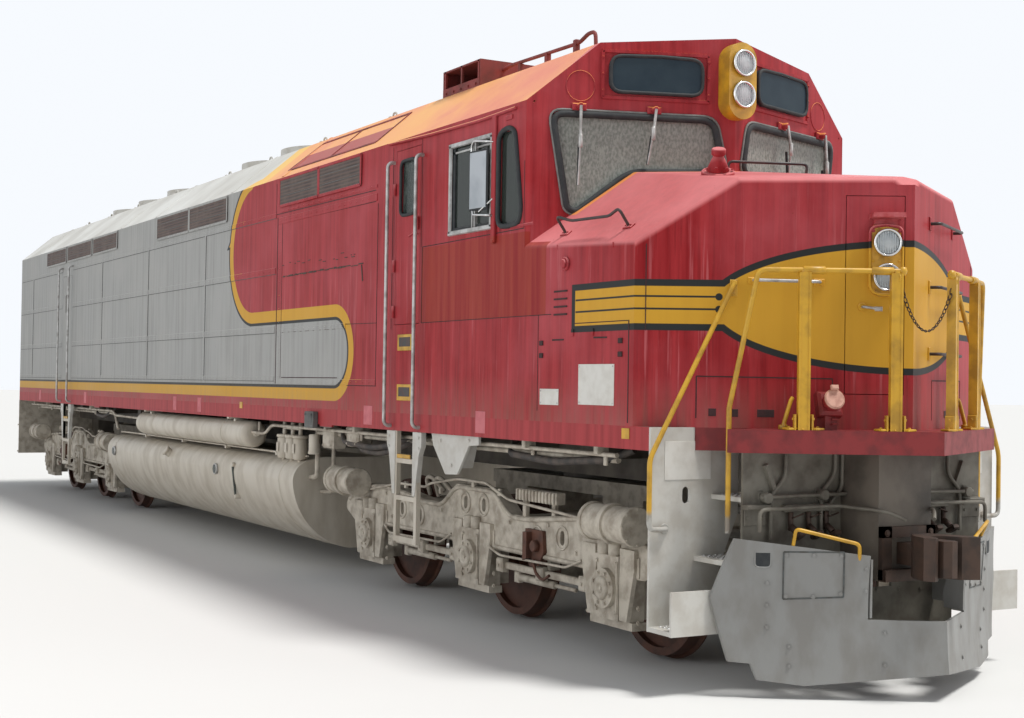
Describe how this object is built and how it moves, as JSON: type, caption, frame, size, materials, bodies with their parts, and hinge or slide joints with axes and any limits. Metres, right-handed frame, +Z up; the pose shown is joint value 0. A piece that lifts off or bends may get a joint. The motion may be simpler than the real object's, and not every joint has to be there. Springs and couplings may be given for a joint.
{
  "type": "six-axle diesel passenger locomotive",
  "caption": "Cowl-bodied diesel locomotive with a V-shaped nose and windshield, swivelling three-axle trucks, fuel tank, plow and opening doors.",
  "frame": {"origin": "midway between the coupler faces, on the centreline, at the level of the wheels' flange tips; the rail top is at z 0.027", "axes": "+X to the front (nose), +Y to the left, +Z up"},
  "size_m": [22.04, 3.25, 4.7829],
  "materials": {
    "red_paint": "faded dark red paint",
    "silver_paint": "light grey aluminium paint, dusty",
    "roof_paint": "chalky pale roof paint",
    "yellow_paint": "golden yellow paint",
    "underbody_paint": "dusty beige-grey paint",
    "front_grey": "light grey paint, worn",
    "wheel_steel": "rusty steel with bright treads",
    "coupler_iron": "dark rusty iron",
    "handrail_silver": "silver paint, flaking",
    "window_glass": "dusty glass",
    "board_blank": "dark slate enamel in a silver frame",
    "dark_metal": "dark screen and machinery paint",
    "cab_green": "interior enamel",
    "seat_vinyl": "worn black vinyl"
  },
  "bodies": {
    "root": {"underframe": "red_paint", "hood_wall_right": "silver_paint", "hood_wall_left": "silver_paint", "hood_roof": "roof_paint", "rear_wall": "silver_paint", "cab_wall_right": "red_paint", "cab_wall_left": "red_paint", "cab_bulkhead": "cab_green", "cab_roof": "roof_paint", "cab_front": "red_paint", "cab_glass": "window_glass", "cab_floor": "cab_green", "nose_top": "red_paint", "nose_side_walls": "red_paint", "nose_front": "red_paint", "front_platform": "red_paint", "front_steps": "front_grey", "front_end_plate": "front_grey", "rear_end_plate": "underbody_paint", "front_handrails": "yellow_paint", "side_handrails": "handrail_silver", "side_ladders": "underbody_paint", "snowplow": "front_grey", "couplers": "coupler_iron", "fuel_tank": "underbody_paint", "air_reservoirs": "underbody_paint", "engine_block": "dark_metal", "cab_seats": "seat_vinyl", "control_stand": "cab_green", "cab_headlight": "yellow_paint", "number_boards": "board_blank", "side_grilles": "dark_metal", "fan_housings": "roof_paint", "roof_equipment": "red_paint"},
    "cab_door_right": {"cab_door_right": "red_paint", "cab_door_glass_right": "window_glass"},
    "cab_door_left": {"cab_door_left": "red_paint", "cab_door_glass_left": "window_glass"},
    "engine_room_door_right": {"engine_room_door_right": "silver_paint"},
    "engine_room_door_left": {"engine_room_door_left": "silver_paint"},
    "rear_door": {"rear_door": "silver_paint"},
    "nose_door": {"nose_door": "red_paint", "nose_headlight": "yellow_paint"},
    "radiator_fan_1": {"radiator_fan_1": "dark_metal"},
    "radiator_fan_2": {"radiator_fan_2": "dark_metal"},
    "radiator_fan_3": {"radiator_fan_3": "dark_metal"},
    "front_truck": {"front_truck_frame": "underbody_paint", "front_truck_journal_boxes": "underbody_paint", "front_truck_motors": "underbody_paint", "front_truck_brake_gear": "underbody_paint"},
    "front_truck_wheelset_1": {"front_truck_wheelset_1": "wheel_steel"},
    "front_truck_wheelset_2": {"front_truck_wheelset_2": "wheel_steel"},
    "front_truck_wheelset_3": {"front_truck_wheelset_3": "wheel_steel"},
    "rear_truck": {"rear_truck_frame": "underbody_paint", "rear_truck_journal_boxes": "underbody_paint", "rear_truck_motors": "underbody_paint", "rear_truck_brake_gear": "underbody_paint"},
    "rear_truck_wheelset_1": {"rear_truck_wheelset_1": "wheel_steel"},
    "rear_truck_wheelset_2": {"rear_truck_wheelset_2": "wheel_steel"},
    "rear_truck_wheelset_3": {"rear_truck_wheelset_3": "wheel_steel"}
  },
  "joints": [
    {"name": "cab_door_right_hinge", "type": "hinge", "parent": "root", "child": "cab_door_right", "pos_m": [6.4225, -1.478, 2.5], "axis": [0, 0, -1], "range_deg": [0, 90]},
    {"name": "cab_door_left_hinge", "type": "hinge", "parent": "root", "child": "cab_door_left", "pos_m": [6.4225, 1.478, 2.5], "axis": [0, 0, 1], "range_deg": [0, 90]},
    {"name": "engine_room_door_right_hinge", "type": "hinge", "parent": "root", "child": "engine_room_door_right", "pos_m": [-6.8025, -1.478, 2.5], "axis": [0, 0, 1], "range_deg": [0, 90]},
    {"name": "engine_room_door_left_hinge", "type": "hinge", "parent": "root", "child": "engine_room_door_left", "pos_m": [-6.8025, 1.478, 2.5], "axis": [0, 0, -1], "range_deg": [0, 90]},
    {"name": "rear_door_hinge", "type": "hinge", "parent": "root", "child": "rear_door", "pos_m": [-10.068, 0.3225, 2.5], "axis": [0, 0, 1], "range_deg": [0, 90]},
    {"name": "nose_door_hinge", "type": "hinge", "parent": "root", "child": "nose_door", "pos_m": [10.53432, -0.02024, 2.5], "axis": [0, 0, -1], "range_deg": [0, 90]},
    {"name": "radiator_fan_1_spin", "type": "hinge", "parent": "root", "child": "radiator_fan_1", "pos_m": [-7.3, 0, 4.6], "axis": [0, 0, 1], "continuous": true},
    {"name": "radiator_fan_2_spin", "type": "hinge", "parent": "root", "child": "radiator_fan_2", "pos_m": [-5.72, 0, 4.6], "axis": [0, 0, 1], "continuous": true},
    {"name": "radiator_fan_3_spin", "type": "hinge", "parent": "root", "child": "radiator_fan_3", "pos_m": [-4.14, 0, 4.6], "axis": [0, 0, 1], "continuous": true},
    {"name": "front_truck_swivel", "type": "hinge", "parent": "root", "child": "front_truck", "pos_m": [6.858, 0, 1.177], "axis": [0, 0, 1], "range_deg": [-4, 4]},
    {"name": "front_truck_wheelset_1_roll", "type": "hinge", "parent": "front_truck", "child": "front_truck_wheelset_1", "pos_m": [8.928, 0, 0.535], "axis": [0, 1, 0], "continuous": true},
    {"name": "front_truck_wheelset_2_roll", "type": "hinge", "parent": "front_truck", "child": "front_truck_wheelset_2", "pos_m": [6.858, 0, 0.535], "axis": [0, 1, 0], "continuous": true},
    {"name": "front_truck_wheelset_3_roll", "type": "hinge", "parent": "front_truck", "child": "front_truck_wheelset_3", "pos_m": [4.788, 0, 0.535], "axis": [0, 1, 0], "continuous": true},
    {"name": "rear_truck_swivel", "type": "hinge", "parent": "root", "child": "rear_truck", "pos_m": [-6.858, 0, 1.177], "axis": [0, 0, 1], "range_deg": [-4, 4]},
    {"name": "rear_truck_wheelset_1_roll", "type": "hinge", "parent": "rear_truck", "child": "rear_truck_wheelset_1", "pos_m": [-4.788, 0, 0.535], "axis": [0, 1, 0], "continuous": true},
    {"name": "rear_truck_wheelset_2_roll", "type": "hinge", "parent": "rear_truck", "child": "rear_truck_wheelset_2", "pos_m": [-6.858, 0, 0.535], "axis": [0, 1, 0], "continuous": true},
    {"name": "rear_truck_wheelset_3_roll", "type": "hinge", "parent": "rear_truck", "child": "rear_truck_wheelset_3", "pos_m": [-8.928, 0, 0.535], "axis": [0, 1, 0], "continuous": true}
  ]
}
